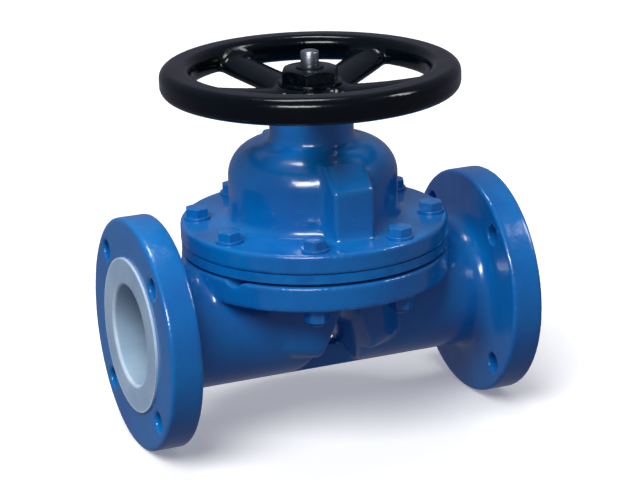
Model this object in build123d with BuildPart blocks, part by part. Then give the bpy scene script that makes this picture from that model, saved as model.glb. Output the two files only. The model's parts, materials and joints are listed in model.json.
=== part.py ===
"""Lined weir-type diaphragm valve, DN 100, flanged, with a rising stem and a handwheel.

Millimetres. The origin is the centre of the inlet's sealing face, +X runs along the flow to the
outlet, and +Z runs up the stem to the handwheel. The stem stands at x = STEM_X. The valve is
modelled partly open: the compressor can go down by CLOSING_TRAVEL and up by OPENING_TRAVEL.
"""

import os
from math import asin, cos, degrees, radians, sin, sqrt

from build123d import *

# Whole valve
FACE_TO_FACE = 352.0
STEM_X = FACE_TO_FACE / 2
CLOSING_TRAVEL = 20.0
OPENING_TRAVEL = 26.0
RUNNING_GAP = 0.05  # radial clearance of shafts and screws in their holes
REST_GAP = 0.6  # between the compressor's group and the soft diaphragm

# Pipe flanges and lining
END_FLANGE_D = 205.0
END_FLANGE_T = 28.5
END_BOLT_CIRCLE = 170.0
END_HOLE_D = 18.0
END_HOLE_COUNT = 4
LINING_T = 3.5
LINING_FACE_D = 136.0
LINING_FACE_T = 2.0
BORE_R = 44.0
BORE_STRAIGHT = 100.0  # from each end; the passage is wider between
THROAT_R = 45.0
THROAT_TAPER = 12.0

# Body casting
WALL = 7.5
TUBE_R = BORE_R + LINING_T + WALL
TUBE_FILLET = 10.0
CHAMBER_R = 66.0
CHAMBER_FLOOR_Z = -16.0
CHAMBER_FLOOR_FILLET = 14.0
DRUM_R = CHAMBER_R + LINING_T + WALL
RIB_T = 14.0
RIB_BOTTOM_Z = -58.0
RIB_TOP_Z = -36.0

# Weir: a ridge across the flow whose crest is an arc in the Y-Z plane
WEIR_CREST_Z = 12.0
WEIR_ARC_R = 70.0
WEIR_CREST_ROUND = 8.0
WEIR_HALF_ANGLE = 31.0
WEIR_AXIS_Z = WEIR_CREST_Z + WEIR_ARC_R

# Joint between body and bonnet
JOINT_FLANGE_R = 118.0
JOINT_BOTTOM_Z = 33.5
BODY_TOP_Z = 55.5
COLLAR_R = 89.0
FACING_BOTTOM_Z = BODY_TOP_Z + 3.0
FACING_T = 3.0
BACKING_T = 5.0
BONNET_BOTTOM_Z = FACING_BOTTOM_Z + FACING_T + BACKING_T
BONNET_FLANGE_TOP_Z = 84.0
JOINT_BOLT_R = 103.0
JOINT_BOLT_COUNT = 8
JOINT_BOLT_START = 22.5
SIDE_BOLT_ANGLES = (67.5, 112.5, 247.5, 292.5)  # through bolts with nuts
TUBE_BOLT_ANGLES = (22.5, 157.5, 202.5, 337.5)  # screws tapped in above the tube
TAPPED_BOTTOM_Z = 40.0
JOINT_HOLE_D = 13.5
BOLT_D = 12.0
HEX_ACROSS_FLATS = 19.0
BOLT_HEAD_T = 7.5
NUT_T = 10.0
WASHER_D = 24.0
WASHER_T = 2.5

# Bonnet
DOME_R = 74.5
DOME_TOP_Z = 152.5
DOME_ROUND = 30.0
NECK_R = 37.0
NECK_TOP_Z = 181.5
GUIDE_HALF_WIDTH = 19.0
GUIDE_FRONT_Y = 91.5
GUIDE_SHOULDER_Z = 128.5
GUIDE_TOP_Z = 147.5
SLOT_HALF_WIDTH = 11.0
SLOT_END_Y = 82.5
SLOT_TOP_Z = 128.5
POCKET_R = 27.0
POCKET_FLOOR_Z = 156.5
BUSH_R = 12.0

# Drive: stem, sleeve and what holds it
STEM_R = 8.0
STEM_END_R = 7.0
STEM_BOTTOM_Z = 76.5
STEM_SHOULDER_Z = 102.5
STEM_TOP_Z = 232.5
COLLAR_BOTTOM_Z = 158.5
COLLAR_TOP_Z = 168.5
SLEEVE_COLLAR_R = 23.0
SLEEVE_R = 15.0
SLEEVE_KEYED_R = 13.0
SLEEVE_THREAD_R = 12.0
SLEEVE_TOP_Z = 219.5
THRUST_WASHER_T = 2.0
RETAINER_FLANGE_R = 33.0
RETAINER_TOP_Z = 185.5
O_RING_SECTION_R = 1.5
O_RING_Z = 176.5

# Handwheel
HUB_BOTTOM_Z = 186.5
HUB_TOP_Z = 203.5
HUB_R = 31.0
RIM_OUTER_R = 131.0
RIM_TOP_Z = 221.5
RIM_WIDTH = 27.5
RIM_HEIGHT = 24.0
RIM_ROUND = 8.5
SPOKE_COUNT = 5
SPOKE_START = 36.0
# Each station of a spoke: radius, height of its centre, width and thickness
SPOKE_STATIONS = ((20, 194, 40, 15), (62, 197.5, 37, 16), (112, 205.5, 38, 18))
KEY_SIZE = 6.0
WHEEL_WASHER_T = 3.0
WHEEL_WASHER_R = 28.0
WHEEL_NUT_T = 11.0
WHEEL_NUT_ACROSS_FLATS = 46.0

# Compressor, stud and pin
DISH_BOTTOM_Z = WEIR_CREST_Z + CLOSING_TRAVEL
DISH_R = 65.5
DISH_LIP_R = 6.0
BOSS_R = 22.0
BOSS_TOP_Z = 110.5
BAR_HALF_WIDTH = 9.0
BAR_REACH_Y = 52.0
FINGER_HALF_WIDTH = 7.0
FINGER_REACH_X = 46.0
LUG_BOTTOM_Z = 90.5
LUG_TOP_Z = 100.5
LUG_END_Y = 78.5
LUG_HALF_WIDTH = 10.0
STUD_R = 5.0
STUD_HEAD_R = 9.0
STUD_HEAD_T = 1.8
STUD_HEAD_COVER = 1.6  # backing left under the head
STUD_TOP_Z = 70.5
PIN_R = 4.0
PIN_Z = 88.5


def level(z):
    """Horizontal plane at height z, centred on the stem axis."""
    return Plane(origin=(STEM_X, 0, z), x_dir=(1, 0, 0), z_dir=(0, 0, 1))


# Upright planes through the stem axis: local x is world X or Y, local y is height.
ALONG = Plane(origin=(STEM_X, 0, 0), x_dir=(1, 0, 0), z_dir=(0, -1, 0))
ACROSS = Plane(origin=(STEM_X, 0, 0), x_dir=(0, 1, 0), z_dir=(1, 0, 0))
STEM_AXIS = Axis((STEM_X, 0, 0), (0, 0, 1))


def ring(name, inner_r, outer_r, bottom_z, top_z, edge=0.0):
    """Plain turned ring on the stem axis, with its outer edges broken by edge."""
    with BuildPart() as turned:
        with BuildSketch(level(bottom_z)):
            Circle(outer_r)
            Circle(inner_r, mode=Mode.SUBTRACT)
        extrude(amount=top_z - bottom_z)
        if edge:
            chamfer(turned.edges().filter_by(GeomType.CIRCLE).sort_by(SortBy.RADIUS)[-2:], edge)
    turned.part.label = name
    export_step(turned.part, f"parts/{name}.step")
    return turned.part


def weir_ridge(grow, tip_round):
    """Ring of wedge section that fills the flow path below the weir's arc.

    Grow sets its flanks back by that much, and tip_round is the radius of its edge.
    """
    half_angle = radians(WEIR_HALF_ANGLE)
    sharp_r = WEIR_ARC_R + WEIR_CREST_ROUND - (WEIR_CREST_ROUND - grow) / sin(half_angle)
    deep_r = WEIR_ARC_R + 90
    half_width = (deep_r - sharp_r) * sin(half_angle) / cos(half_angle)
    with BuildPart() as ridge:
        with BuildSketch(ALONG) as section:
            with BuildLine():
                Polyline(
                    (0, WEIR_AXIS_Z - sharp_r),
                    (half_width, WEIR_AXIS_Z - deep_r),
                    (-half_width, WEIR_AXIS_Z - deep_r),
                    close=True,
                )
            make_face()
            fillet(section.vertices().sort_by(Axis.Y)[-1], tip_round)
        revolve(axis=Axis((0, 0, WEIR_AXIS_Z), (1, 0, 0)), revolution_arc=360)
    return ridge.part


def flow_passage(grow, top_z):
    """Hollow of the flow path, grown by grow: bore and chamber, with the weir left standing."""
    with BuildPart() as hollow:
        with BuildSketch(Plane.XZ):
            with BuildLine():
                Polyline(
                    (0, 0),
                    (0, BORE_R + grow),
                    (BORE_STRAIGHT, BORE_R + grow),
                    (BORE_STRAIGHT + THROAT_TAPER, THROAT_R + grow),
                    (FACE_TO_FACE - BORE_STRAIGHT - THROAT_TAPER, THROAT_R + grow),
                    (FACE_TO_FACE - BORE_STRAIGHT, BORE_R + grow),
                    (FACE_TO_FACE, BORE_R + grow),
                    (FACE_TO_FACE, 0),
                    close=True,
                )
            make_face()
        revolve(axis=Axis.X)
        with BuildSketch(ALONG) as chamber:
            with BuildLine():
                Polyline(
                    (0, CHAMBER_FLOOR_Z - grow),
                    (CHAMBER_R + grow, CHAMBER_FLOOR_Z - grow),
                    (CHAMBER_R + grow, top_z),
                    (0, top_z),
                    close=True,
                )
            make_face()
            floor_corner = chamber.vertices().group_by(Axis.Y)[0].sort_by(Axis.X)[-1]
            fillet(floor_corner, CHAMBER_FLOOR_FILLET + grow)
        revolve(axis=STEM_AXIS)
        add(weir_ridge(grow, WEIR_CREST_ROUND - grow), mode=Mode.SUBTRACT)
    return hollow.part


os.makedirs("parts", exist_ok=True)

lined_hollow = flow_passage(0, FACING_BOTTOM_Z)
cast_hollow = flow_passage(LINING_T, BODY_TOP_Z)

# --- Body casting -----------------------------------------------------------------------------
with BuildPart() as valve_body:
    # Straight tube with its two end flanges, turned about the flow axis
    with BuildSketch(Plane.XZ) as tube_profile:
        with BuildLine():
            Polyline(
                (LINING_FACE_T, 0),
                (LINING_FACE_T, END_FLANGE_D / 2),
                (LINING_FACE_T + END_FLANGE_T, END_FLANGE_D / 2),
                (LINING_FACE_T + END_FLANGE_T, TUBE_R),
                (FACE_TO_FACE - LINING_FACE_T - END_FLANGE_T, TUBE_R),
                (FACE_TO_FACE - LINING_FACE_T - END_FLANGE_T, END_FLANGE_D / 2),
                (FACE_TO_FACE - LINING_FACE_T, END_FLANGE_D / 2),
                (FACE_TO_FACE - LINING_FACE_T, 0),
                close=True,
            )
        make_face()
        fillet(tube_profile.vertices().group_by(Axis.Y)[1], TUBE_FILLET)
        fillet(tube_profile.vertices().group_by(Axis.Y)[-1], 2)
    revolve(axis=Axis.X)
    # Drum round the chamber, up to the joint flange
    with BuildSketch(ALONG) as drum_profile:
        with BuildLine():
            Polyline(
                (0, CHAMBER_FLOOR_Z - LINING_T - WALL),
                (DRUM_R, CHAMBER_FLOOR_Z - LINING_T - WALL),
                (DRUM_R, JOINT_BOTTOM_Z + 5),
                (0, JOINT_BOTTOM_Z + 5),
                close=True,
            )
        make_face()
        drum_corner = drum_profile.vertices().group_by(Axis.Y)[0].sort_by(Axis.X)[-1]
        fillet(drum_corner, CHAMBER_FLOOR_FILLET + LINING_T)
    revolve(axis=STEM_AXIS)
    # Groove that follows the weir on the outside and keeps the wall even
    add(weir_ridge(LINING_T + WALL, 6), mode=Mode.SUBTRACT)
    # Joint flange
    with BuildSketch(level(JOINT_BOTTOM_Z)):
        Circle(JOINT_FLANGE_R)
    extrude(amount=BODY_TOP_Z - JOINT_BOTTOM_Z)
    # Stiffening rib along the bottom
    with BuildSketch(Plane.XY.offset(RIB_BOTTOM_Z)):
        with Locations((STEM_X, 0)):
            Rectangle(FACE_TO_FACE - 2 * END_FLANGE_T, RIB_T)
    extrude(amount=RIB_TOP_Z - RIB_BOTTOM_Z)
    add(cast_hollow, mode=Mode.SUBTRACT)
    # Bolt holes of the pipe flanges and of the joint flange
    with BuildSketch(Plane.YZ):
        with PolarLocations(END_BOLT_CIRCLE / 2, END_HOLE_COUNT, start_angle=45):
            Circle(END_HOLE_D / 2)
    extrude(amount=FACE_TO_FACE, mode=Mode.SUBTRACT)
    for angle in SIDE_BOLT_ANGLES:
        with BuildSketch(level(JOINT_BOTTOM_Z)):
            with PolarLocations(JOINT_BOLT_R, 1, start_angle=angle):
                Circle(JOINT_HOLE_D / 2)
        extrude(amount=BODY_TOP_Z - JOINT_BOTTOM_Z, mode=Mode.SUBTRACT)
    for angle in TUBE_BOLT_ANGLES:
        with BuildSketch(level(TAPPED_BOTTOM_Z)):
            with PolarLocations(JOINT_BOLT_R, 1, start_angle=angle):
                Circle(BOLT_D / 2)
        extrude(amount=BODY_TOP_Z - TAPPED_BOTTOM_Z, mode=Mode.SUBTRACT)
valve_body.part.label = "valve_body"
export_step(valve_body.part, "parts/valve_body.step")

# --- Lining -----------------------------------------------------------------------------------
with BuildPart() as body_lining:
    add(cast_hollow)
    for face_x in (0, FACE_TO_FACE - LINING_FACE_T):
        with BuildSketch(Plane.YZ.offset(face_x)):
            Circle(LINING_FACE_D / 2)
        extrude(amount=LINING_FACE_T)
    with BuildSketch(level(BODY_TOP_Z)):
        Circle(COLLAR_R)
    extrude(amount=FACING_BOTTOM_Z - BODY_TOP_Z)
    add(lined_hollow, mode=Mode.SUBTRACT)
body_lining.part.label = "body_lining"
export_step(body_lining.part, "parts/body_lining.step")

# --- Diaphragm: a flat clamped edge and a dish that hangs to the weir -------------------------
dish_drop = FACING_BOTTOM_Z - DISH_BOTTOM_Z
DISH_ARC_R = (DISH_R**2 / dish_drop + dish_drop) / 2 - DISH_LIP_R
DISH_CENTRE_Z = DISH_BOTTOM_Z + DISH_ARC_R
LIP_CENTRE_Z = FACING_BOTTOM_Z - DISH_LIP_R
lip_angle = degrees(asin(DISH_R / (DISH_ARC_R + DISH_LIP_R)))
diaphragm_r = JOINT_FLANGE_R - 0.5


def dish_layer(name, below, thickness):
    """One layer of the diaphragm, above the given thickness of the layers below it."""
    with BuildPart() as layer:
        with BuildSketch(ALONG):
            with BuildLine():
                for rise in (below, below + thickness):
                    CenterArc((0, DISH_CENTRE_Z), DISH_ARC_R - rise, -90, lip_angle)
                    CenterArc(
                        (DISH_R, LIP_CENTRE_Z), DISH_LIP_R + rise, 90 + lip_angle, -lip_angle
                    )
                    flat_z = FACING_BOTTOM_Z + rise
                    Line((DISH_R, flat_z), (diaphragm_r, flat_z))
                low_z = FACING_BOTTOM_Z + below
                Line((diaphragm_r, low_z), (diaphragm_r, low_z + thickness))
                Line((0, DISH_BOTTOM_Z + below), (0, DISH_BOTTOM_Z + below + thickness))
            make_face()
        revolve(axis=STEM_AXIS)
        with BuildSketch(level(low_z)):
            with PolarLocations(JOINT_BOLT_R, JOINT_BOLT_COUNT, start_angle=JOINT_BOLT_START):
                Circle(JOINT_HOLE_D / 2)
        extrude(amount=thickness, mode=Mode.SUBTRACT)
    layer.part.label = name
    return layer.part


diaphragm_facing = dish_layer("diaphragm_facing", 0, FACING_T)
export_step(diaphragm_facing, "parts/diaphragm_facing.step")

backing_layer = dish_layer("backing", FACING_T, BACKING_T)
STUD_HEAD_BOTTOM_Z = DISH_BOTTOM_Z + FACING_T + STUD_HEAD_COVER
with BuildPart() as diaphragm_backing:
    add(backing_layer)
    # Pocket of the stud's head and hole of its shank
    with BuildSketch(level(STUD_HEAD_BOTTOM_Z - REST_GAP)):
        Circle(STUD_HEAD_R + REST_GAP)
    extrude(amount=STUD_HEAD_T + 2 * REST_GAP, mode=Mode.SUBTRACT)
    with BuildSketch(level(STUD_HEAD_BOTTOM_Z)):
        Circle(STUD_R + REST_GAP)
    extrude(amount=BACKING_T + 6, mode=Mode.SUBTRACT)
diaphragm_backing.part.label = "diaphragm_backing"
export_step(diaphragm_backing.part, "parts/diaphragm_backing.step")

# --- Stud, compressor and pin -----------------------------------------------------------------
with BuildPart() as diaphragm_stud:
    with BuildSketch(level(STUD_HEAD_BOTTOM_Z)):
        Circle(STUD_HEAD_R)
    extrude(amount=STUD_HEAD_T)
    with BuildSketch(level(STUD_HEAD_BOTTOM_Z)):
        Circle(STUD_R)
    extrude(amount=STUD_TOP_Z - STUD_HEAD_BOTTOM_Z)
    chamfer(diaphragm_stud.edges().sort_by(Axis.Z)[-1], 1)
diaphragm_stud.part.label = "diaphragm_stud"
export_step(diaphragm_stud.part, "parts/diaphragm_stud.step")

COMPRESSOR_BOTTOM_Z = DISH_BOTTOM_Z + FACING_T + BACKING_T + REST_GAP
bar_arc_r = WEIR_ARC_R - FACING_T - BACKING_T
bar_rise = bar_arc_r - sqrt(bar_arc_r**2 - BAR_REACH_Y**2)
finger_arc_r = FINGER_REACH_X + 5
finger_rise = finger_arc_r - sqrt(finger_arc_r**2 - FINGER_REACH_X**2)
with BuildPart() as compressor:
    # Bar that presses along the weir
    with BuildSketch(ACROSS):
        with BuildLine():
            RadiusArc(
                (-BAR_REACH_Y, COMPRESSOR_BOTTOM_Z + bar_rise),
                (0, COMPRESSOR_BOTTOM_Z),
                -bar_arc_r,
            )
            RadiusArc(
                (0, COMPRESSOR_BOTTOM_Z),
                (BAR_REACH_Y, COMPRESSOR_BOTTOM_Z + bar_rise),
                -bar_arc_r,
            )
            Polyline(
                (BAR_REACH_Y, COMPRESSOR_BOTTOM_Z + bar_rise),
                (BAR_REACH_Y, COMPRESSOR_BOTTOM_Z + bar_rise + 8),
                (BOSS_R - 2, LUG_BOTTOM_Z),
                (-BOSS_R + 2, LUG_BOTTOM_Z),
                (-BAR_REACH_Y, COMPRESSOR_BOTTOM_Z + bar_rise + 8),
                (-BAR_REACH_Y, COMPRESSOR_BOTTOM_Z + bar_rise),
            )
        make_face()
    extrude(amount=BAR_HALF_WIDTH, both=True)
    # Fingers that back the diaphragm along the flow
    with BuildSketch(ALONG):
        with BuildLine():
            RadiusArc(
                (-FINGER_REACH_X, COMPRESSOR_BOTTOM_Z + finger_rise),
                (0, COMPRESSOR_BOTTOM_Z),
                -finger_arc_r,
            )
            RadiusArc(
                (0, COMPRESSOR_BOTTOM_Z),
                (FINGER_REACH_X, COMPRESSOR_BOTTOM_Z + finger_rise),
                -finger_arc_r,
            )
            Polyline(
                (FINGER_REACH_X, COMPRESSOR_BOTTOM_Z + finger_rise),
                (FINGER_REACH_X, COMPRESSOR_BOTTOM_Z + finger_rise + 7),
                (BOSS_R - 2, LUG_BOTTOM_Z),
                (-BOSS_R + 2, LUG_BOTTOM_Z),
                (-FINGER_REACH_X, COMPRESSOR_BOTTOM_Z + finger_rise + 7),
                (-FINGER_REACH_X, COMPRESSOR_BOTTOM_Z + finger_rise),
            )
        make_face()
    extrude(amount=FINGER_HALF_WIDTH, both=True)
    # Boss and the guide arm whose ends run in the bonnet's slots
    with BuildSketch(level(COMPRESSOR_BOTTOM_Z + 12)):
        Circle(BOSS_R)
    extrude(amount=BOSS_TOP_Z - COMPRESSOR_BOTTOM_Z - 12)
    with BuildSketch(level(LUG_BOTTOM_Z)):
        Rectangle(2 * LUG_HALF_WIDTH, 2 * LUG_END_Y)
    extrude(amount=LUG_TOP_Z - LUG_BOTTOM_Z)
    chamfer(compressor.edges().group_by(Axis.Z)[-1], 2)
    # Bores for the stud, the stem's end and the cross pin
    with BuildSketch(level(COMPRESSOR_BOTTOM_Z)):
        Circle(STUD_R + RUNNING_GAP)
    extrude(amount=STUD_TOP_Z + 1 - COMPRESSOR_BOTTOM_Z, mode=Mode.SUBTRACT)
    with BuildSketch(level(STEM_BOTTOM_Z - 1)):
        Circle(STEM_END_R + RUNNING_GAP)
    extrude(amount=BOSS_TOP_Z - STEM_BOTTOM_Z + 1, mode=Mode.SUBTRACT)
    with BuildSketch(level(STEM_SHOULDER_Z)):
        Circle(STEM_R + RUNNING_GAP)
    extrude(amount=BOSS_TOP_Z - STEM_SHOULDER_Z, mode=Mode.SUBTRACT)
    with BuildSketch(ACROSS):
        with Locations((0, PIN_Z)):
            Circle(PIN_R + RUNNING_GAP)
    extrude(amount=BOSS_R + 1, both=True, mode=Mode.SUBTRACT)
compressor.part.label = "compressor"
export_step(compressor.part, "parts/compressor.step")

with BuildPart() as compressor_pin:
    with BuildSketch(ACROSS):
        with Locations((0, PIN_Z)):
            Circle(PIN_R)
    extrude(amount=BOSS_R - 1, both=True)
    chamfer(compressor_pin.edges().filter_by(GeomType.CIRCLE), 0.8)
compressor_pin.part.label = "compressor_pin"
export_step(compressor_pin.part, "parts/compressor_pin.step")

# --- Stem -------------------------------------------------------------------------------------
with BuildPart() as stem:
    with BuildSketch(level(STEM_BOTTOM_Z)):
        Circle(STEM_END_R)
    extrude(amount=STEM_SHOULDER_Z - STEM_BOTTOM_Z)
    with BuildSketch(level(STEM_SHOULDER_Z)):
        Circle(STEM_R)
    extrude(amount=STEM_TOP_Z - STEM_SHOULDER_Z)
    chamfer(stem.edges().sort_by(Axis.Z)[-1], 1)
    with BuildSketch(ACROSS):
        with Locations((0, PIN_Z)):
            Circle(PIN_R + RUNNING_GAP)
    extrude(amount=STEM_R, both=True, mode=Mode.SUBTRACT)
stem.part.label = "stem"
export_step(stem.part, "parts/stem.step")

# --- Bonnet -----------------------------------------------------------------------------------
with BuildPart() as bonnet:
    with BuildSketch(ALONG) as bell:
        with BuildLine():
            Polyline(
                (0, BONNET_BOTTOM_Z),
                (JOINT_FLANGE_R, BONNET_BOTTOM_Z),
                (JOINT_FLANGE_R, BONNET_FLANGE_TOP_Z),
                (DOME_R, BONNET_FLANGE_TOP_Z),
                (DOME_R, DOME_TOP_Z),
                (NECK_R, DOME_TOP_Z),
                (NECK_R, NECK_TOP_Z),
                (0, NECK_TOP_Z),
                close=True,
            )
        make_face()
        corners = bell.vertices()
        fillet(corners.sort_by_distance((DOME_R, DOME_TOP_Z))[0], DOME_ROUND)
        fillet(bell.vertices().sort_by_distance((DOME_R, BONNET_FLANGE_TOP_Z))[0], 7)
        fillet(bell.vertices().sort_by_distance((JOINT_FLANGE_R, BONNET_FLANGE_TOP_Z))[0], 2)
        chamfer(bell.vertices().sort_by_distance((NECK_R, NECK_TOP_Z))[0], 1.5)
    revolve(axis=STEM_AXIS)
    # Guide housings at the two sides of the flow, with sloping shoulders
    for side in (1, -1):
        with BuildSketch(ACROSS) as housing:
            with BuildLine():
                Polyline(
                    (side * (DOME_R - 30), BONNET_FLANGE_TOP_Z - 6),
                    (side * GUIDE_FRONT_Y, BONNET_FLANGE_TOP_Z - 6),
                    (side * GUIDE_FRONT_Y, GUIDE_SHOULDER_Z),
                    (side * (DOME_R - 4), GUIDE_TOP_Z),
                    (side * (DOME_R - 30), GUIDE_TOP_Z),
                    close=True,
                )
            make_face()
            shoulder = housing.vertices().sort_by_distance((side * GUIDE_FRONT_Y, GUIDE_SHOULDER_Z))
            fillet(shoulder[0], 6)
        extrude(amount=GUIDE_HALF_WIDTH, both=True)
    upright = bonnet.edges().filter_by(Axis.Z).filter_by_position(
        Axis.Z, BONNET_FLANGE_TOP_Z, GUIDE_SHOULDER_Z
    )
    outer_corners = [edge for edge in upright if abs(edge.center().Y) > GUIDE_FRONT_Y - 1]
    fillet(outer_corners, 3.5)
    # Bell's hollow and the slots of the guide housings
    with BuildSketch(ALONG) as hollow:
        with BuildLine():
            Polyline(
                (0, BONNET_BOTTOM_Z),
                (CHAMBER_R, BONNET_BOTTOM_Z),
                (CHAMBER_R, DOME_TOP_Z - WALL),
                (0, DOME_TOP_Z - WALL),
                close=True,
            )
        make_face()
        corner = hollow.vertices().sort_by_distance((CHAMBER_R, DOME_TOP_Z - WALL))
        fillet(corner[0], DOME_ROUND - WALL)
    revolve(axis=STEM_AXIS, mode=Mode.SUBTRACT)
    with BuildSketch(level(BONNET_BOTTOM_Z)):
        Rectangle(2 * SLOT_HALF_WIDTH, 2 * SLOT_END_Y)
    extrude(amount=SLOT_TOP_Z - BONNET_BOTTOM_Z, mode=Mode.SUBTRACT)
    # Bush bore, sleeve pocket and bolt holes
    with BuildSketch(level(DOME_TOP_Z - WALL)):
        Circle(BUSH_R)
    extrude(amount=POCKET_FLOOR_Z - DOME_TOP_Z + WALL, mode=Mode.SUBTRACT)
    with BuildSketch(level(POCKET_FLOOR_Z)):
        Circle(POCKET_R)
    extrude(amount=NECK_TOP_Z - POCKET_FLOOR_Z, mode=Mode.SUBTRACT)
    with BuildSketch(level(BONNET_BOTTOM_Z)):
        with PolarLocations(JOINT_BOLT_R, JOINT_BOLT_COUNT, start_angle=JOINT_BOLT_START):
            Circle(JOINT_HOLE_D / 2)
    extrude(amount=BONNET_FLANGE_TOP_Z - BONNET_BOTTOM_Z, mode=Mode.SUBTRACT)
    # Tapped hole of the set screw, at the outlet side of the neck
    with BuildSketch(Plane.YZ.offset(STEM_X + POCKET_R - 1)):
        with Locations((0, O_RING_Z)):
            Circle(2.5)
    extrude(amount=NECK_R - POCKET_R + 2, mode=Mode.SUBTRACT)
bonnet.part.label = "bonnet"
export_step(bonnet.part, "parts/bonnet.step")

ring("bonnet_bush", STEM_R + RUNNING_GAP, BUSH_R, DOME_TOP_Z - WALL, POCKET_FLOOR_Z)

# --- Sleeve, its bearings and its retainer ----------------------------------------------------
with BuildPart() as stem_sleeve:
    with BuildSketch(ALONG):
        with BuildLine():
            Polyline(
                (STEM_R + RUNNING_GAP, COLLAR_BOTTOM_Z),
                (SLEEVE_COLLAR_R, COLLAR_BOTTOM_Z),
                (SLEEVE_COLLAR_R, COLLAR_TOP_Z),
                (SLEEVE_R, COLLAR_TOP_Z),
                (SLEEVE_R, HUB_BOTTOM_Z),
                (SLEEVE_KEYED_R, HUB_BOTTOM_Z),
                (SLEEVE_KEYED_R, HUB_TOP_Z),
                (SLEEVE_THREAD_R, HUB_TOP_Z),
                (SLEEVE_THREAD_R, SLEEVE_TOP_Z - 1),
                (SLEEVE_THREAD_R - 1, SLEEVE_TOP_Z),
                (STEM_R + RUNNING_GAP, SLEEVE_TOP_Z),
                close=True,
            )
        make_face()
    revolve(axis=STEM_AXIS)
    # Keyway
    with BuildSketch(level(HUB_BOTTOM_Z + 1)):
        with Locations((SLEEVE_KEYED_R, 0)):
            Rectangle(KEY_SIZE, KEY_SIZE)
    extrude(amount=HUB_TOP_Z - HUB_BOTTOM_Z - 1, mode=Mode.SUBTRACT)
stem_sleeve.part.label = "stem_sleeve"
export_step(stem_sleeve.part, "parts/stem_sleeve.step")

ring(
    "lower_thrust_washer",
    STEM_R + 4,
    POCKET_R - 0.5,
    COLLAR_BOTTOM_Z - THRUST_WASHER_T,
    COLLAR_BOTTOM_Z,
)
ring(
    "upper_thrust_washer",
    SLEEVE_R + 0.5,
    POCKET_R - 0.5,
    COLLAR_TOP_Z,
    COLLAR_TOP_Z + THRUST_WASHER_T,
)

groove_r = SLEEVE_R + 2 * O_RING_SECTION_R
with BuildPart() as sleeve_retainer:
    with BuildSketch(ALONG):
        with BuildLine():
            Polyline(
                (SLEEVE_R + RUNNING_GAP, COLLAR_TOP_Z + THRUST_WASHER_T),
                (POCKET_R, COLLAR_TOP_Z + THRUST_WASHER_T),
                (POCKET_R, NECK_TOP_Z),
                (RETAINER_FLANGE_R, NECK_TOP_Z),
                (RETAINER_FLANGE_R, RETAINER_TOP_Z - 1),
                (RETAINER_FLANGE_R - 1, RETAINER_TOP_Z),
                (SLEEVE_R + RUNNING_GAP, RETAINER_TOP_Z),
                (SLEEVE_R + RUNNING_GAP, O_RING_Z + O_RING_SECTION_R),
                (groove_r, O_RING_Z + O_RING_SECTION_R),
                (groove_r, O_RING_Z - O_RING_SECTION_R),
                (SLEEVE_R + RUNNING_GAP, O_RING_Z - O_RING_SECTION_R),
                close=True,
            )
        make_face()
    revolve(axis=STEM_AXIS)
    # Four spanner notches in the flange
    with BuildSketch(level(RETAINER_TOP_Z)):
        with PolarLocations(RETAINER_FLANGE_R, 4, start_angle=45):
            Rectangle(5, 6)
    extrude(amount=NECK_TOP_Z + 0.5 - RETAINER_TOP_Z, mode=Mode.SUBTRACT)
sleeve_retainer.part.label = "sleeve_retainer"
export_step(sleeve_retainer.part, "parts/sleeve_retainer.step")

with BuildPart() as retainer_screw:
    with BuildSketch(Plane.YZ.offset(STEM_X + POCKET_R)):
        with Locations((0, O_RING_Z)):
            Circle(2.5)
    extrude(amount=NECK_R - POCKET_R - 0.5)
    with BuildSketch(Plane.YZ.offset(STEM_X + NECK_R - 3)):
        with Locations((0, O_RING_Z)):
            RegularPolygon(radius=1.4, side_count=6)
    extrude(amount=4, mode=Mode.SUBTRACT)
retainer_screw.part.label = "retainer_screw"
export_step(retainer_screw.part, "parts/retainer_screw.step")

with BuildPart() as sleeve_o_ring:
    with BuildSketch(ALONG):
        with Locations((SLEEVE_R + RUNNING_GAP + O_RING_SECTION_R, O_RING_Z)):
            Circle(O_RING_SECTION_R - RUNNING_GAP)
    revolve(axis=STEM_AXIS)
sleeve_o_ring.part.label = "sleeve_o_ring"
export_step(sleeve_o_ring.part, "parts/sleeve_o_ring.step")

# --- Handwheel and what holds it --------------------------------------------------------------
rim_centre_r = RIM_OUTER_R - RIM_WIDTH / 2
rim_centre_z = RIM_TOP_Z - RIM_HEIGHT / 2
with BuildPart() as handwheel:
    with BuildSketch(ALONG) as rim_section:
        with Locations((rim_centre_r, rim_centre_z)):
            Rectangle(RIM_WIDTH, RIM_HEIGHT)
        fillet(rim_section.vertices(), RIM_ROUND)
    revolve(axis=STEM_AXIS)
    for spoke in range(SPOKE_COUNT):
        angle = radians(SPOKE_START + spoke * 360 / SPOKE_COUNT)
        for station_r, station_z, width, thickness in SPOKE_STATIONS:
            centre = (STEM_X + station_r * cos(angle), station_r * sin(angle), station_z)
            across_spoke = (-sin(angle), cos(angle), 0)
            outward = (cos(angle), sin(angle), 0)
            with BuildSketch(Plane(origin=centre, x_dir=across_spoke, z_dir=outward)):
                Ellipse(width / 2, thickness / 2)
        loft()
    with BuildSketch(level(HUB_BOTTOM_Z)):
        Circle(HUB_R)
    extrude(amount=HUB_TOP_Z - HUB_BOTTOM_Z)
    with BuildSketch(level(HUB_BOTTOM_Z)):
        Circle(SLEEVE_KEYED_R)
        with Locations((SLEEVE_KEYED_R, 0)):
            Rectangle(KEY_SIZE, KEY_SIZE)
    extrude(amount=HUB_TOP_Z - HUB_BOTTOM_Z + 10, mode=Mode.SUBTRACT)
handwheel.part.label = "handwheel"
export_step(handwheel.part, "parts/handwheel.step")

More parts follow.
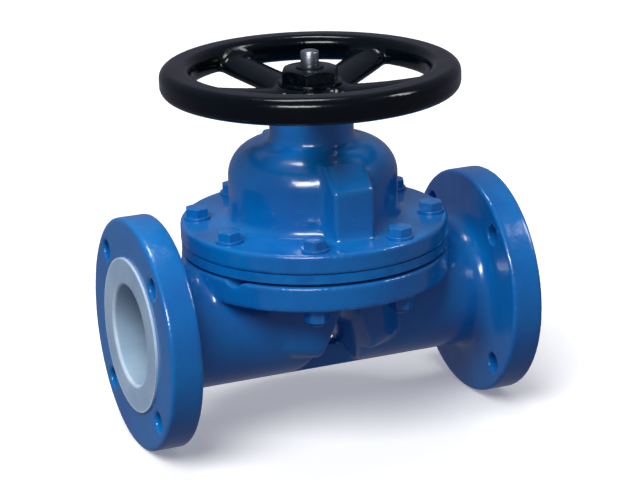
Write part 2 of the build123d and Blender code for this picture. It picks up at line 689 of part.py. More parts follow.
with BuildPart() as handwheel_key:
    with BuildSketch(level(HUB_BOTTOM_Z + 1)):
        with Locations((SLEEVE_KEYED_R, 0)):
            Rectangle(KEY_SIZE, KEY_SIZE)
    extrude(amount=HUB_TOP_Z - HUB_BOTTOM_Z - 1)
handwheel_key.part.label = "handwheel_key"
export_step(handwheel_key.part, "parts/handwheel_key.step")

ring(
    "handwheel_washer",
    SLEEVE_THREAD_R + 0.5,
    WHEEL_WASHER_R,
    HUB_TOP_Z,
    HUB_TOP_Z + WHEEL_WASHER_T,
    edge=0.5,
)

wheel_nut_bottom_z = HUB_TOP_Z + WHEEL_WASHER_T


def hex_blank(across_flats, bottom_z, height, spin=0.0):
    """Hexagon prism with chamfered corners at its top, centred on the origin's axis."""
    corner_r = across_flats / 2 / cos(radians(30))
    with BuildPart() as blank:
        with BuildSketch(Plane.XY.offset(bottom_z)):
            RegularPolygon(radius=corner_r, side_count=6, rotation=spin)
        extrude(amount=height)
        with BuildSketch(Plane.XZ) as cone_section:
            with BuildLine():
                Polyline(
                    (0, bottom_z - 1),
                    (corner_r + 1, bottom_z - 1),
                    (corner_r + 1, bottom_z + height - (corner_r + 1 - across_flats / 2) * 0.5),
                    (across_flats / 2 - 0.6, bottom_z + height),
                    (0, bottom_z + height),
                    close=True,
                )
            make_face()
        revolve(axis=Axis.Z, mode=Mode.INTERSECT)
    return blank.part


with BuildPart() as handwheel_nut:
    with Locations((STEM_X, 0, 0)):
        add(hex_blank(WHEEL_NUT_ACROSS_FLATS, wheel_nut_bottom_z, WHEEL_NUT_T))
    with BuildSketch(level(wheel_nut_bottom_z)):
        Circle(SLEEVE_THREAD_R)
    extrude(amount=WHEEL_NUT_T, mode=Mode.SUBTRACT)
handwheel_nut.part.label = "handwheel_nut"
export_step(handwheel_nut.part, "parts/handwheel_nut.step")

# --- Joint fasteners --------------------------------------------------------------------------
head_bottom_z = BONNET_FLANGE_TOP_Z + WASHER_T
nut_top_z = JOINT_BOTTOM_Z - WASHER_T


def hex_screw(end_z):
    """Hexagon screw of the joint with its end at end_z, centred on the origin's axis."""
    with BuildPart() as screw:
        add(hex_blank(HEX_ACROSS_FLATS, head_bottom_z, BOLT_HEAD_T, spin=11))
        with BuildSketch(Plane.XY.offset(end_z)):
            Circle(BOLT_D / 2)
        extrude(amount=head_bottom_z - end_z)
        chamfer(screw.edges().sort_by(Axis.Z)[0], 1)
    return screw.part


def hex_nut():
    """Nut of the joint bolts, its chamfered side down, centred on the origin's axis."""
    with BuildPart() as nut:
        with Locations(Location((0, 0, 0), (180, 0, 0))):
            add(hex_blank(HEX_ACROSS_FLATS, -nut_top_z, NUT_T, spin=19))
        with BuildSketch(Plane.XY.offset(nut_top_z)):
            Circle(BOLT_D / 2)
        extrude(amount=-NUT_T, mode=Mode.SUBTRACT)
    return nut.part


def flat_washer(bottom_z):
    """Washer of the joint bolts, centred on the origin's axis."""
    with BuildPart() as washer:
        with BuildSketch(Plane.XY.offset(bottom_z)):
            Circle(WASHER_D / 2)
            Circle(JOINT_HOLE_D / 2, mode=Mode.SUBTRACT)
        extrude(amount=WASHER_T)
    return washer.part


def on_bolt_circle(name, piece, angles):
    """Writes a node that holds the piece once at each of the given angles."""
    spots = [(cos(radians(angle)), sin(radians(angle))) for angle in angles]
    group = Compound(
        children=[Pos(STEM_X + JOINT_BOLT_R * x, JOINT_BOLT_R * y, 0) * piece for x, y in spots]
    )
    group.label = name
    export_step(group, f"parts/{name}.step")


on_bolt_circle("bonnet_bolts", hex_screw(nut_top_z - NUT_T - 4), SIDE_BOLT_ANGLES)
on_bolt_circle("bonnet_screws", hex_screw(TAPPED_BOTTOM_Z + 2), TUBE_BOLT_ANGLES)
on_bolt_circle("bonnet_nuts", hex_nut(), SIDE_BOLT_ANGLES)
on_bolt_circle("nut_washers", flat_washer(nut_top_z), SIDE_BOLT_ANGLES)
on_bolt_circle(
    "bonnet_washers", flat_washer(BONNET_FLANGE_TOP_Z), SIDE_BOLT_ANGLES + TUBE_BOLT_ANGLES
)
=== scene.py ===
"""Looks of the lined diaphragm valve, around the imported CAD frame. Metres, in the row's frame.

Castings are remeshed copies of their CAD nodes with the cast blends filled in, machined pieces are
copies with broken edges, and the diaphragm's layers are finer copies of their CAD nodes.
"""
import json
import math

import bmesh
import bpy
import numpy as np
from mathutils import Matrix, Vector
from mathutils.bvhtree import BVHTree


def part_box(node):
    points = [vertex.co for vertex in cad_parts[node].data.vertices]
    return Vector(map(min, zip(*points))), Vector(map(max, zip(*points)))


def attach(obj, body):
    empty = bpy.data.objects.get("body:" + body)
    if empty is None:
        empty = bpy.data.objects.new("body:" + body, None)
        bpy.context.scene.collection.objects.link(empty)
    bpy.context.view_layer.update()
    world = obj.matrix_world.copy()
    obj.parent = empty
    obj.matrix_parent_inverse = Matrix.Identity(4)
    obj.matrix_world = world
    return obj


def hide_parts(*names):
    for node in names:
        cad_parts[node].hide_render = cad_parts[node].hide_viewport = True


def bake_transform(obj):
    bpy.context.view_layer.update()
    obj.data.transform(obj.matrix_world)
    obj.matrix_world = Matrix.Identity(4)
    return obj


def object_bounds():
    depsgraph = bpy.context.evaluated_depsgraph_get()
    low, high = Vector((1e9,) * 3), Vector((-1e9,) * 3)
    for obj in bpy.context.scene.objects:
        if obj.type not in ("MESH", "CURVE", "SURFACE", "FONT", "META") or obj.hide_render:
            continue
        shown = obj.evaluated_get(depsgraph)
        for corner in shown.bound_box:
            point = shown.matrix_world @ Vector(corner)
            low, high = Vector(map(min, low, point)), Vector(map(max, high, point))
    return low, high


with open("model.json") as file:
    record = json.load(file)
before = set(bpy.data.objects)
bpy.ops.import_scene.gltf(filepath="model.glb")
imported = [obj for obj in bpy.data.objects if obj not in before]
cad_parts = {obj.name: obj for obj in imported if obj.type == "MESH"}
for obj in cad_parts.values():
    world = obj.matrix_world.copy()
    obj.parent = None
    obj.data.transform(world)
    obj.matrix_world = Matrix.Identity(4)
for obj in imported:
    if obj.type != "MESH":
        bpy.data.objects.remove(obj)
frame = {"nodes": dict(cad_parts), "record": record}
cad_low, cad_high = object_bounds()
nodes = frame["nodes"]
scene = bpy.context.scene

# --- Camera: the photograph's viewing angle ---------------------------------------------------
CAMERA_AT = Vector((-0.59486, -1.84583, 0.69895))
LOOKS_AT = Vector((0.17492, -0.0150, 0.06473))
CAMERA_ROLL = math.radians(-1.515)
LENS_MM = 133.36

back = (CAMERA_AT - LOOKS_AT).normalized()
right = Vector((0, 0, 1)).cross(back).normalized()
up = back.cross(right)
rolled_right = right * math.cos(CAMERA_ROLL) + up * math.sin(CAMERA_ROLL)
rolled_up = up * math.cos(CAMERA_ROLL) - right * math.sin(CAMERA_ROLL)
camera_data = bpy.data.cameras.new("camera")
camera_data.lens = LENS_MM
camera_data.sensor_width = 36.0
camera_data.clip_end = 20.0
camera = bpy.data.objects.new("camera", camera_data)
scene.collection.objects.link(camera)
camera.matrix_world = Matrix.Translation(CAMERA_AT) @ Matrix(
    (rolled_right, rolled_up, back)
).transposed().to_4x4()
scene.camera = camera
scene.view_settings.view_transform = "Standard"

# --- Places taken from the frame --------------------------------------------------------------
stem_low, stem_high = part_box("stem")
stem_x = (stem_low.x + stem_high.x) / 2
bonnet_low, bonnet_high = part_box("bonnet")
joint_r = (bonnet_high.x - bonnet_low.x) / 2
mounts = {mount["name"]: mount for mount in frame["record"]["mounts"]}
bore_r = mounts["inlet_bore"]["dims"]["r_mm"] / 1000
flange_holes = mounts["inlet_bolts"]["dims"]
FACE_R = 0.068  # raised sealing faces of the lining


# --- Materials --------------------------------------------------------------------------------
class Paint:
    """Builds one node material: a Principled shader and the nodes that feed it."""

    def __init__(self, name, **sockets):
        self.material = bpy.data.materials.new(name)
        self.material.use_nodes = True
        self.tree = self.material.node_tree
        self.shader = self.tree.nodes["Principled BSDF"]
        self.place = self.node("ShaderNodeTexCoord").outputs["Object"]
        self.geometry = self.node("ShaderNodeNewGeometry")
        for socket, value in sockets.items():
            self.shader.inputs[socket.replace("_", " ")].default_value = value

    def node(self, kind, **settings):
        made = self.tree.nodes.new(kind)
        for key, value in settings.items():
            setattr(made, key, value)
        return made

    def link(self, source, target):
        self.tree.links.new(source, target)

    def noise(self, scale, detail=2.0, rough=0.5, stretch=None):
        """Noise in object space; scale is in waves a metre."""
        made = self.node("ShaderNodeTexNoise")
        made.inputs["Scale"].default_value = scale
        made.inputs["Detail"].default_value = detail
        made.inputs["Roughness"].default_value = rough
        place = self.place
        if stretch:
            mapping = self.node("ShaderNodeMapping")
            mapping.inputs["Scale"].default_value = stretch
            self.link(self.place, mapping.inputs["Vector"])
            place = mapping.outputs["Vector"]
        self.link(place, made.inputs["Vector"])
        return made.outputs["Fac"]

    def ranged(self, value, low, high, to_low=0.0, to_high=1.0):
        made = self.node("ShaderNodeMapRange")
        self.link(value, made.inputs["Value"])
        for socket, number in zip(made.inputs[1:5], (low, high, to_low, to_high)):
            socket.default_value = number
        return made.outputs["Result"]

    def math(self, operation, first, second):
        made = self.node("ShaderNodeMath", operation=operation)
        for socket, value in zip(made.inputs, (first, second)):
            if isinstance(value, (int, float)):
                socket.default_value = value
            else:
                self.link(value, socket)
        return made.outputs[0]

    def mixed(self, amount, first, second):
        """Colour between first and second; each is a colour or a socket."""
        made = self.node("ShaderNodeMix", data_type="RGBA")
        self.link(amount, made.inputs["Factor"])
        for socket, value in ((made.inputs["A"], first), (made.inputs["B"], second)):
            colour = [i for i in made.inputs if i.name == socket.name and i.type == "RGBA"][0]
            if isinstance(value, tuple):
                colour.default_value = (*value, 1)
            else:
                self.link(value, colour)
        return [o for o in made.outputs if o.type == "RGBA"][0]

    def along(self, axis):
        made = self.node("ShaderNodeSeparateXYZ")
        self.link(self.place, made.inputs[0])
        return made.outputs[axis]

    def facing_up(self):
        made = self.node("ShaderNodeSeparateXYZ")
        self.link(self.geometry.outputs["Normal"], made.inputs[0])
        return made.outputs["Z"]

    def edges(self, low=0.51, high=0.56):
        """Mask of the sharp outer edges."""
        return self.ranged(self.geometry.outputs["Pointiness"], low, high)

    def bump(self, *layers):
        """Layers are (height socket, depth in metres)."""
        below = None
        for height, depth in layers:
            made = self.node("ShaderNodeBump")
            made.inputs["Strength"].default_value = 1.0
            made.inputs["Distance"].default_value = depth
            self.link(height, made.inputs["Height"])
            if below is not None:
                self.link(below, made.inputs["Normal"])
            below = made.outputs["Normal"]
        self.link(below, self.shader.inputs["Normal"])

    def colour(self, source):
        self.link(source, self.shader.inputs["Base Color"])

    def roughness(self, source):
        self.link(source, self.shader.inputs["Roughness"])


def enamel(name, base, shade, worn, rough, grain, gloss, dusty):
    """Gloss enamel brushed over a casting or a fastener."""
    paint = Paint(name, Coat_Weight=gloss, Coat_Roughness=0.05, Specular_IOR_Level=gloss)
    patches = paint.ranged(paint.noise(14, 3), 0.35, 0.68)
    streaks = paint.ranged(paint.noise(60, 4, 0.6, (1.0, 1.0, 0.25)), 0.4, 0.75, 0.0, 0.5)
    body = paint.mixed(patches, base, shade)
    body = paint.mixed(streaks, body, base)
    dust = paint.math(
        "MULTIPLY",
        paint.ranged(paint.facing_up(), 0.55, 1.0, 0.0, dusty),
        paint.ranged(paint.noise(45, 5, 0.65), 0.40, 0.70),
    )
    body = paint.mixed(dust, body, (0.42, 0.42, 0.40))
    chips = paint.math(
        "MULTIPLY", paint.edges(), paint.ranged(paint.noise(180, 4, 0.6), 0.50, 0.62, 0.0, 0.55)
    )
    paint.colour(paint.mixed(chips, body, worn))
    paint.roughness(paint.ranged(paint.noise(38, 4), 0.3, 0.75, rough, rough + 0.14))
    paint.bump(
        (paint.noise(42, 2), 0.0007 * grain),
        (paint.noise(260, 3), 0.00018 * grain),
        (paint.noise(1100, 2), 0.00003),
    )
    return paint.material


BORE_SHADE_FROM, BORE_SHADE_TO = 0.003, 0.055  # depth in the bore over which painted shade darkens the lining's colour
# Painted highlights: bands of radius and depth at the sealing faces where the lining is painted
# brighter
OUTER_LIP_HIGHLIGHT = (0.0022, 0.0008)
INNER_LIP_HIGHLIGHT = (0.0036, 0.0016)
LIP_HIGHLIGHT_DEPTH = (0.0032, 0.0016)


def lining_look():
    """Pale fluoropolymer: moulding clouds, turned grooves, painted highlights on the face's edges
    and the bore's mouth, and painted shade deep in the bore.
    """
    paint = Paint("fluoropolymer", Subsurface_Weight=0.15, Subsurface_Scale=0.002)
    paint.shader.inputs["Subsurface Radius"].default_value = (0.6, 0.8, 1.0)
    clouds = paint.ranged(paint.noise(22, 4, 0.6), 0.35, 0.7)
    body = paint.mixed(clouds, (0.34, 0.50, 0.66), (0.44, 0.60, 0.74))
    grime = paint.ranged(paint.noise(90, 5, 0.7), 0.58, 0.78, 0.0, 0.35)
    body = paint.mixed(grime, body, (0.26, 0.37, 0.47))
    from_middle = paint.math("ABSOLUTE", paint.math("ADD", paint.along("X"), -stem_x), 0.0)
    half_length = (cad_high.x - cad_low.x) / 2
    # Painted shade: the lining's colour darkens with depth into the bore
    depth = paint.ranged(from_middle, half_length - BORE_SHADE_FROM, half_length - BORE_SHADE_TO, 0.0, 0.92)
    body = paint.mixed(depth, body, (0.035, 0.09, 0.14))
    paint.roughness(paint.ranged(paint.noise(60, 3), 0.3, 0.7, 0.38, 0.55))
    across = paint.math("POWER", paint.along("Y"), 2.0)
    upward = paint.math("POWER", paint.along("Z"), 2.0)
    radius = paint.math("SQRT", paint.math("ADD", across, upward), 0.0)
    # Painted highlights: the lining is painted brighter along the outer edge of the sealing face and
    # round the bore's mouth
    outer_lip_highlight = paint.ranged(radius, FACE_R - OUTER_LIP_HIGHLIGHT[0], FACE_R - OUTER_LIP_HIGHLIGHT[1])
    inner_lip_highlight = paint.ranged(radius, bore_r + INNER_LIP_HIGHLIGHT[0], bore_r + INNER_LIP_HIGHLIGHT[1])
    at_face = paint.ranged(from_middle, half_length - LIP_HIGHLIGHT_DEPTH[0], half_length - LIP_HIGHLIGHT_DEPTH[1])
    lip_highlights = paint.math("MULTIPLY", paint.math("MAXIMUM", outer_lip_highlight, inner_lip_highlight), at_face)
    lip_highlights = paint.math("MULTIPLY", lip_highlights, paint.ranged(paint.noise(50, 3), 0.3, 0.7, 0.5, 1.0))
    paint.colour(paint.mixed(lip_highlights, body, (0.66, 0.80, 0.90)))
    GROOVES_A_METRE = 900 * math.tau
    grooves = paint.math("SINE", paint.math("MULTIPLY", radius, GROOVES_A_METRE), 0.0)
    paint.bump((grooves, 0.00004), (paint.noise(70, 3), 0.0003), (paint.noise(700, 2), 0.00004))
    return paint.material


def turned_metal(name, light, dark, rough, axis_stretch=(30, 30, 2600)):
    """Bare metal with turning marks round the stem axis and a faint oxide bloom."""
    paint = Paint(name, Metallic=1.0)
    bloom = paint.ranged(paint.noise(55, 5, 0.6), 0.35, 0.72)
    paint.colour(paint.mixed(bloom, light, dark))
    marks = paint.noise(1.0, 3, 0.6, axis_stretch)
    paint.roughness(paint.ranged(marks, 0.3, 0.7, rough, rough + 0.18))
    paint.bump((marks, 0.00005), (paint.noise(500, 2), 0.00003))
    return paint.material


def bare_iron():
    """Unpainted casting with a coarse skin and rust in its hollows."""
    paint = Paint("bare_iron", Metallic=0.55)
    skin = paint.ranged(paint.noise(160, 5, 0.65), 0.3, 0.7)
    body = paint.mixed(skin, (0.11, 0.11, 0.115), (0.20, 0.20, 0.205))
    rust = paint.ranged(paint.noise(40, 5, 0.7), 0.55, 0.75, 0.0, 0.6)
    paint.colour(paint.mixed(rust, body, (0.20, 0.09, 0.04)))
    paint.roughness(paint.ranged(skin, 0, 1, 0.55, 0.8))
    paint.bump((paint.noise(220, 5, 0.7), 0.0006), (paint.noise(900, 3), 0.0001))
    return paint.material


PAINTED_RIM = 0.0022  # how far the enamel reaches in from the diaphragm's edge


def diaphragm_look(name, inner, mottled, rough):
    """A diaphragm layer: its own colour inside, and enamel on the rim that shows in the joint."""
    paint = Paint(name)
    from_axis = paint.math("ADD", paint.along("X"), -stem_x)
    squares = paint.math(
        "ADD", paint.math("POWER", from_axis, 2.0), paint.math("POWER", paint.along("Y"), 2.0)
    )
    radius = paint.math("SQRT", squares, 0.0)
    body = paint.mixed(paint.ranged(paint.noise(80, 4), 0.35, 0.7), inner, mottled)
    edge_r = joint_r - PAINTED_RIM
    wobble = paint.math("MULTIPLY", paint.noise(120, 3), 0.0012)
    painted = paint.ranged(paint.math("ADD", radius, wobble), edge_r + 0.0004, edge_r + 0.0009)
    rim = paint.mixed(paint.ranged(paint.noise(90, 4), 0.3, 0.7), BLUE_SHADE, BLUE)
    paint.colour(paint.mixed(painted, body, rim))
    paint.roughness(paint.ranged(painted, 0, 1, rough, 0.25))
    paint.bump((paint.noise(350, 3), 0.00012), (paint.noise(60, 3), 0.0005))
    return paint.material


def sleeve_look():
    """Bronze sleeve whose threaded top was painted over with the handwheel."""
    top_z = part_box("handwheel_nut")[1].z
    paint = Paint("painted_bronze")
    bloom = paint.ranged(paint.noise(55, 5, 0.6), 0.35, 0.72)
    wobble = paint.math("MULTIPLY", paint.noise(200, 3), 0.001)
    height = paint.math("ADD", paint.along("Z"), wobble)
    painted = paint.ranged(height, top_z - 0.002, top_z - 0.0016)
    metal = paint.mixed(bloom, (0.62, 0.40, 0.17), (0.42, 0.26, 0.12))
    paint.colour(paint.mixed(painted, metal, BLACK_SHADE))
    marks = paint.noise(1.0, 3, 0.6, (30, 30, 2600))
    paint.link(paint.ranged(painted, 0, 1, 1, 0), paint.shader.inputs["Metallic"])
    paint.roughness(paint.ranged(marks, 0.3, 0.7, 0.24, 0.42))
    paint.bump((marks, 0.00005), (paint.noise(500, 2), 0.00003))
    return paint.material


def rubber():
    paint = Paint("black_rubber")
    body = paint.mixed(paint.ranged(paint.noise(120, 4), 0.3, 0.7), (0.012,) * 3, (0.03,) * 3)
    paint.colour(body)
    paint.roughness(paint.ranged(paint.noise(200, 3), 0.3, 0.7, 0.55, 0.75))
    paint.bump((paint.noise(800, 3), 0.00006))
    return paint.material


BLUE = (0.001, 0.180, 0.54)
BLUE_SHADE = (0.003, 0.128, 0.45)
BLUE_WORN = (0.02, 0.20, 0.50)
BLACK = (0.0004, 0.0018, 0.0036)
BLACK_SHADE = (0.0008, 0.0030, 0.0054)
BLACK_WORN = (0.018, 0.020, 0.026)

looks = {
    "blue_enamel": enamel(
        "blue_enamel", BLUE, BLUE_SHADE, BLUE_WORN, 0.16, 1.0, 0.5, 0.03
    ),
    "blue_enamel_steel": enamel(
        "blue_enamel_steel", BLUE, BLUE_SHADE, BLUE_WORN, 0.2, 0.35, 0.5, 0.03
    ),
    "black_enamel": enamel(
        "black_enamel", BLACK, BLACK_SHADE, BLACK_WORN, 0.12, 0.6, 0.2, 0.004
    ),
    "black_enamel_steel": enamel(
        "black_enamel_steel", BLACK, BLACK_SHADE, BLACK_WORN, 0.14, 0.3, 0.2, 0.004
    ),
    "fluoropolymer": lining_look(),
    "bright_steel": turned_metal("bright_steel", (0.42, 0.47, 0.52), (0.27, 0.32, 0.38), 0.24),
    "bronze": turned_metal("bronze", (0.62, 0.40, 0.17), (0.42, 0.26, 0.12), 0.28),
    "bare_iron": bare_iron(),
    "black_rubber": rubber(),
}
facing_look = diaphragm_look("facing_layer", (0.72, 0.74, 0.74), (0.80, 0.81, 0.80), 0.4)
backing_look = diaphragm_look("backing_layer", (0.014, 0.014, 0.015), (0.03, 0.03, 0.03), 0.6)

slot_of = {part["node"]: part["material_slot"] for part in frame["record"]["subparts"]}
body_of = {
    node: body
    for body, members in frame["record"]["behaviour"]["bodies"].items()
    for node in members
}
for node, thing in nodes.items():
    thing.data.materials.clear()
    thing.data.materials.append(looks[slot_of[node]])
nodes["stem_sleeve"].data.materials[0] = sleeve_look()


# --- Mesh tools -------------------------------------------------------------------------------
def copy_of(node, name):
    """New piece with the welded mesh of a CAD node, without the node's stored normals."""
    source = nodes[node].data
    mesh = bpy.data.meshes.new(name)
    mesh.from_pydata(
        [tuple(v.co) for v in source.vertices], [], [tuple(p.vertices) for p in source.polygons]
    )
    work = bmesh.new()
    work.from_mesh(mesh)
    bmesh.ops.remove_doubles(work, verts=work.verts, dist=1e-6)
    work.to_mesh(mesh)
    work.free()
    piece = bpy.data.objects.new(name, mesh)
    scene.collection.objects.link(piece)
    return piece


def apply_modifiers(piece):
    graph = bpy.context.evaluated_depsgraph_get()
    made = bpy.data.meshes.new_from_object(piece.evaluated_get(graph))
    piece.modifiers.clear()
    piece.data = made
    made.name = piece.name


def stand_for(piece, node):
    """The piece takes the node's place, body, slot and material."""
    piece.data.materials.clear()
    piece.data.materials.append(looks[slot_of[node]])
    piece.data.shade_smooth()
    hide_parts(node)
    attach(piece, body_of[node])


def voxels(piece, size):
    remesh = piece.modifiers.new("remesh", "REMESH")
    remesh.mode = "VOXEL"
    remesh.voxel_size = size
    apply_modifiers(piece)


# An evening step draws the points in and pushes them back out, which nearly keeps the volume
SHRINK = 0.5
REGROW = 0.52
EVENING_STEPS = 6
LAST_EVENING = 2
EDGE_STEPS = 2
INNER_CORNER = 0.015  # least rise that counts as a corner, in point spacings
OUTER_EDGE = 0.03
FLOW = 0.6
MOUTH_ROUND = 0.003


def smoothed(piece, evening, blend_steps, edge_steps, held):
    """Evens out a voxel mesh, then fills its inner corners and rounds its outer edges.

    Held marks the points that only the evening moves: seats, holes and the inside.
    """
    mesh = piece.data
    count = len(mesh.vertices)
    places = np.zeros(count * 3)
    mesh.vertices.foreach_get("co", places)
    places = places.reshape(-1, 3)
    ends = np.zeros(len(mesh.edges) * 2, np.int64)
    mesh.edges.foreach_get("vertices", ends)
    one, other = ends.reshape(-1, 2).T
    neighbours = np.bincount(one, minlength=count) + np.bincount(other, minlength=count)
    neighbours = np.maximum(neighbours, 1)[:, None]
    corners = np.array([p.vertices[:] for p in mesh.polygons if len(p.vertices) == 4])

    def pull():
        """From each point towards the middle of its neighbours."""
        total = np.stack(
            [
                np.bincount(one, places[other, k], count) + np.bincount(other, places[one, k], count)
                for k in range(3)
            ],
            axis=1,
        )
        return total / neighbours - places

    def normals():
        across = places[corners[:, 2]] - places[corners[:, 0]]
        along = places[corners[:, 3]] - places[corners[:, 1]]
        facing = np.cross(across, along)
        total = np.stack(
            [
                sum(np.bincount(corners[:, c], facing[:, k], count) for c in range(4))
                for k in range(3)
            ],
            axis=1,
        )
        return total / np.maximum(np.linalg.norm(total, axis=1), 1e-12)[:, None]

    for _ in range(evening):
        places += SHRINK * pull()
        places -= REGROW * pull()
    free = ~held(places)
    spacing = np.median(np.linalg.norm(places[one] - places[other], axis=1))
    for step in range(max(blend_steps, edge_steps)):
        if step % 4 == 0:
            facing = normals()
        rise = np.sum(pull() * facing, axis=1)
        inner = (rise > INNER_CORNER * spacing) & (step < blend_steps)
        outer = (rise < -OUTER_EDGE * spacing) & (step < edge_steps)
        places += (FLOW * rise * (free & (inner | outer)))[:, None] * facing
    for _ in range(LAST_EVENING):
        places += SHRINK * pull()
        places -= REGROW * pull()
    mesh.vertices.foreach_set("co", places.ravel())
    mesh.update()


def casting(name, node, size, blend_steps, edge_steps, held):
    piece = copy_of(node, name)
    voxels(piece, size)
    smoothed(piece, EVENING_STEPS, blend_steps, edge_steps, held)
    stand_for(piece, node)


def machined(name, node, edge, segments=2, mouths=None):
    """Copy of a machined or forged piece with its edges broken.

    Mouths, if given, picks the edges that get a wider round first.
    """
    piece = copy_of(node, name)
    work = bmesh.new()
    work.from_mesh(piece.data)
    bmesh.ops.dissolve_limit(
        work, angle_limit=math.radians(0.6), verts=work.verts, edges=work.edges
    )
    if mouths:
        bmesh.ops.bevel(
            work, geom=[e for e in work.edges if mouths(e)], offset=MOUTH_ROUND,
            offset_type="OFFSET", segments=5, profile=0.5, affect="EDGES",
        )
    work.to_mesh(piece.data)
    work.free()
    bevel = piece.modifiers.new("edges", "BEVEL")
    bevel.width = edge
    bevel.segments = segments
    bevel.limit_method = "ANGLE"
    bevel.angle_limit = math.radians(35)
    bevel.harden_normals = True
    piece.data.shade_smooth()
    apply_modifiers(piece)
    stand_for(piece, node)


def from_stem_axis(places):
    return np.hypot(places[:, 0] - stem_x, places[:, 1])


def near_holes(places, centres, axis, reach):
    """Points within reach of any of the hole axes, which run along the given axis."""
    kept = [k for k in range(3) if k != axis]
    flat = places[:, kept]
    near = np.zeros(len(places), bool)
    for centre in centres:
        near |= np.hypot(flat[:, 0] - centre[0], flat[:, 1] - centre[1]) < reach
    return near


# --- Castings ---------------------------------------------------------------------------------
lining_tree = BVHTree.FromObject(nodes["body_lining"], bpy.context.evaluated_depsgraph_get())
LINED_REACH = 0.004  # how far from the lining the body's seats stay as they are
JOINT_BOLT_R = 0.103
JOINT_HOLE_R = 0.0068
JOINT_HOLE_LOW_Z = 0.02
HOLE_RIM = 0.0022
DOME_INSIDE_R = 0.0695
DOME_ROOF_DROP = 0.034  # from the neck's top to the dome's inside
SLOT_HALF_WIDTH = 0.0135
SLOT_END_Y = 0.085
SLOT_TOP_Z = 0.131
POCKET_R = 0.0315
WHEEL_SEAT_R = 0.018
pcd_r = flange_holes["pcd_mm"] / 2000
flange_hole_r = flange_holes["hole_r_mm"] / 1000
flange_centres = [
    (pcd_r * math.cos(math.radians(45 + 90 * k)), pcd_r * math.sin(math.radians(45 + 90 * k)))
    for k in range(4)
]
joint_centres = [
    (
        stem_x + JOINT_BOLT_R * math.cos(math.radians(22.5 + 45 * k)),
        JOINT_BOLT_R * math.sin(math.radians(22.5 + 45 * k)),
    )
    for k in range(8)
]


def body_held(places):
    lined = np.array([lining_tree.find_nearest(Vector(p))[3] < LINED_REACH for p in places])
    flange_rims = near_holes(places, flange_centres, 0, flange_hole_r + HOLE_RIM)
    joint_rims = near_holes(places, joint_centres, 2, JOINT_HOLE_R + HOLE_RIM)
    return lined | flange_rims | (joint_rims & (places[:, 2] > JOINT_HOLE_LOW_Z))


def bonnet_held(places):
    r = from_stem_axis(places)
    height = places[:, 2]
    dome_inside = (r < DOME_INSIDE_R) & (height < bonnet_high.z - DOME_ROOF_DROP)
    slots = (abs(places[:, 0] - stem_x) < SLOT_HALF_WIDTH) & (abs(places[:, 1]) < SLOT_END_Y)
    pocket = r < POCKET_R
    joint_rims = near_holes(places, joint_centres, 2, JOINT_HOLE_R + HOLE_RIM)
    return dome_inside | (slots & (height < SLOT_TOP_Z)) | pocket | joint_rims


def wheel_held(places):
    return from_stem_axis(places) < WHEEL_SEAT_R


for name, node, size, quick_size, blend_steps, quick_steps, held in (
    ("body_casting", "valve_body", 0.0016, 0.0028, 90, 30, body_held),
    ("bonnet_casting", "bonnet", 0.0015, 0.0024, 50, 20, bonnet_held),
    ("wheel_casting", "handwheel", 0.0014, 0.0022, 50, 20, wheel_held),
):
    casting(name, node, size, blend_steps, EDGE_STEPS, held)

# --- Machined and forged pieces ---------------------------------------------------------------
ON_FACE = 1e-5
ON_BORE = 0.0005


def bore_mouth(edge):
    """Is this edge part of the bore's mouth in one of the two sealing faces?"""
    ends = [v.co for v in edge.verts]
    at_face = all(min(abs(p.x - cad_low.x), abs(p.x - cad_high.x)) < ON_FACE for p in ends)
    return at_face and all(abs(math.hypot(p.y, p.z) - bore_r) < ON_BORE for p in ends)


machined("lining_finished", "body_lining", 0.0009, mouths=bore_mouth)
for node, edge in (
    ("bonnet_bolts", 0.0005), ("bonnet_screws", 0.0005),
    ("bonnet_nuts", 0.0005), ("bonnet_washers", 0.0004), ("nut_washers", 0.0004),
    ("handwheel_nut", 0.0007), ("handwheel_washer", 0.0005), ("sleeve_retainer", 0.0006),
):
    machined(node + "_finished", node, edge)


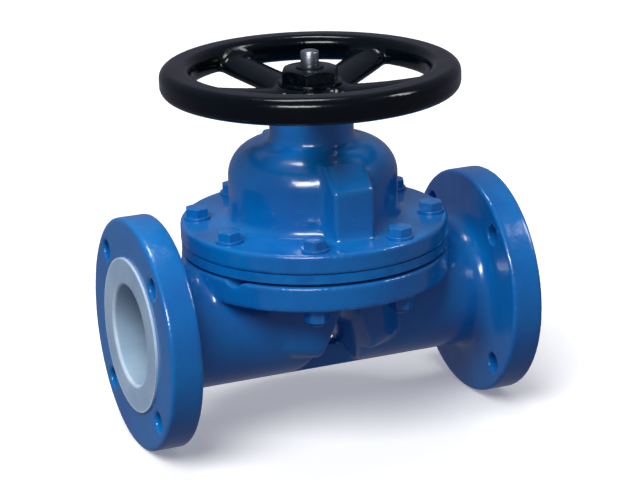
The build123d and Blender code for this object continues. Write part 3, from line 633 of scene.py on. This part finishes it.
def threaded_stem():
    """Stem whose thread is cut below a plain end, with the wide shank and pin end as in CAD."""
    PITCH = 0.004
    DEPTH = 0.0019
    PLAIN_END = 0.014
    AROUND = 64
    thread_low = stem_low.z + 0.042
    thread_high = stem_high.z - PLAIN_END
    r = (stem_high.x - stem_low.x) / 2
    pin_end_r = r - 0.001
    shoulder_z = stem_low.z + 0.026
    rows = [(stem_low.z, pin_end_r - 0.001), (stem_low.z + 0.001, pin_end_r)]
    rows += [(shoulder_z, pin_end_r), (shoulder_z, r), (thread_low, r)]
    steps = round((thread_high - thread_low) / PITCH * 14)
    for k in range(1, steps):
        rows.append((thread_low + (thread_high - thread_low) * k / steps, None))
    rows += [(thread_high, r), (stem_high.z - 0.0016, r)]
    rows += [(stem_high.z - 0.0006, r - 0.0005), (stem_high.z, r - 0.0019)]
    points = []
    for z, radius in rows:
        for j in range(AROUND):
            turn = j / AROUND
            out = radius
            if out is None:
                phase = (z / PITCH + turn) % 1.0
                flank = min(max((abs(phase - 0.5) - 0.14) / 0.18, 0.0), 1.0)
                fade = min((z - thread_low) / 0.006, (thread_high - z) / 0.003, 1.0)
                out = r - DEPTH * (1 - flank) * max(fade, 0.0)
            angle = math.tau * turn
            points.append((stem_x + out * math.cos(angle), out * math.sin(angle), z))
    faces = [
        (
            i * AROUND + j, i * AROUND + (j + 1) % AROUND,
            (i + 1) * AROUND + (j + 1) % AROUND, (i + 1) * AROUND + j,
        )
        for i in range(len(rows) - 1)
        for j in range(AROUND)
    ]
    faces.append(tuple(reversed(range(AROUND))))
    faces.append(tuple((len(rows) - 1) * AROUND + j for j in range(AROUND)))
    mesh = bpy.data.meshes.new("threaded_stem")
    mesh.from_pydata(points, [], faces)
    piece = bpy.data.objects.new("threaded_stem", mesh)
    scene.collection.objects.link(piece)
    stand_for(piece, "stem")
    mesh.set_sharp_from_angle(angle=math.radians(50))


threaded_stem()


# --- Diaphragm layers, as finer copies of their CAD nodes -------------------------------------
def flexing_layer(name, node, look):
    """Diaphragm layer whose rim stays in the joint, copied with finer faces in place of its CAD
    node.
    """
    piece = copy_of(node, name)
    finer = piece.modifiers.new("finer", "SUBSURF")
    finer.subdivision_type = "SIMPLE"
    finer.levels = finer.render_levels = 2
    apply_modifiers(piece)
    piece.data.materials.clear()
    piece.data.materials.append(look)
    piece.data.shade_smooth()
    piece.data.set_sharp_from_angle(angle=math.radians(35))
    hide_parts(node)
    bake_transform(piece)


flexing_layer("facing_flexing", "diaphragm_facing", facing_look)
flexing_layer("backing_flexing", "diaphragm_backing", backing_look)

# --- Floor and lights ---------------------------------------------------------------------------
FLOOR_HALF = 6.0
FLOOR_GAP = 0.0002
floor_z = cad_low.z - FLOOR_GAP
floor_mesh = bpy.data.meshes.new("floor")
floor_mesh.from_pydata(
    [(x * FLOOR_HALF, y * FLOOR_HALF, floor_z) for x, y in ((-1, -1), (1, -1), (1, 1), (-1, 1))],
    [],
    [(0, 1, 2, 3)],
)
floor = bpy.data.objects.new("floor", floor_mesh)
scene.collection.objects.link(floor)
floor_paint = Paint("pale_floor", Roughness=0.9)
floor_paint.shader.inputs["Base Color"].default_value = (0.93, 0.93, 0.93, 1)
floor_paint.shader.inputs["Emission Color"].default_value = (1, 1, 1, 1)
floor_paint.shader.inputs["Emission Strength"].default_value = 0.22
floor.data.materials.append(floor_paint.material)
# Left out of bounced light and reflections, so that the paint keeps its depth
floor.visible_diffuse = False
floor.visible_glossy = False

world = bpy.data.worlds.new("studio")
scene.world = world
world.use_nodes = True
world.node_tree.nodes["Background"].inputs["Color"].default_value = (0.76, 0.76, 1.0, 1)
world.node_tree.nodes["Background"].inputs["Strength"].default_value = 0.2


def softbox(name, at, target, size, power):
    light = bpy.data.lights.new(name, "AREA")
    light.shape = "RECTANGLE"
    light.size, light.size_y = size
    light.energy = power
    lamp = bpy.data.objects.new(name, light)
    scene.collection.objects.link(lamp)
    lamp.location = at
    lamp.rotation_euler = (Vector(target) - Vector(at)).to_track_quat("-Z", "Y").to_euler()
    return lamp


middle = (stem_x, 0, 0.08)
for name, at, size, power in (
    ("window", (-0.85, -1.6, 1.05), (1.0, 0.42), 30),
    ("side_window", (1.7, -0.9, 1.5), (0.35, 0.8), 12),
):
    # These two give highlights only; the top lamp, the suns and the world do the lighting
    softbox(name, at, middle, size, power).visible_diffuse = False
softbox("top", (0.15, 0.35, 2.1), middle, (0.7, 0.4), 12)

for name, energy, spread, heading in (
    ("sky", 2.9, 40, (0.62, 0.50, -1.0)),
    ("back_sky", 0.6, 60, (-0.5, -1.0, -0.6)),
):
    sun = bpy.data.lights.new(name, "SUN")
    sun.energy = energy
    sun.angle = math.radians(spread)
    wide_lamp = bpy.data.objects.new(name, sun)
    scene.collection.objects.link(wide_lamp)
    # Left out of reflections, where so wide a lamp would lay a grey haze on the paint
    wide_lamp.visible_glossy = False
    wide_lamp.rotation_euler = Vector(heading).to_track_quat("-Z", "Y").to_euler()
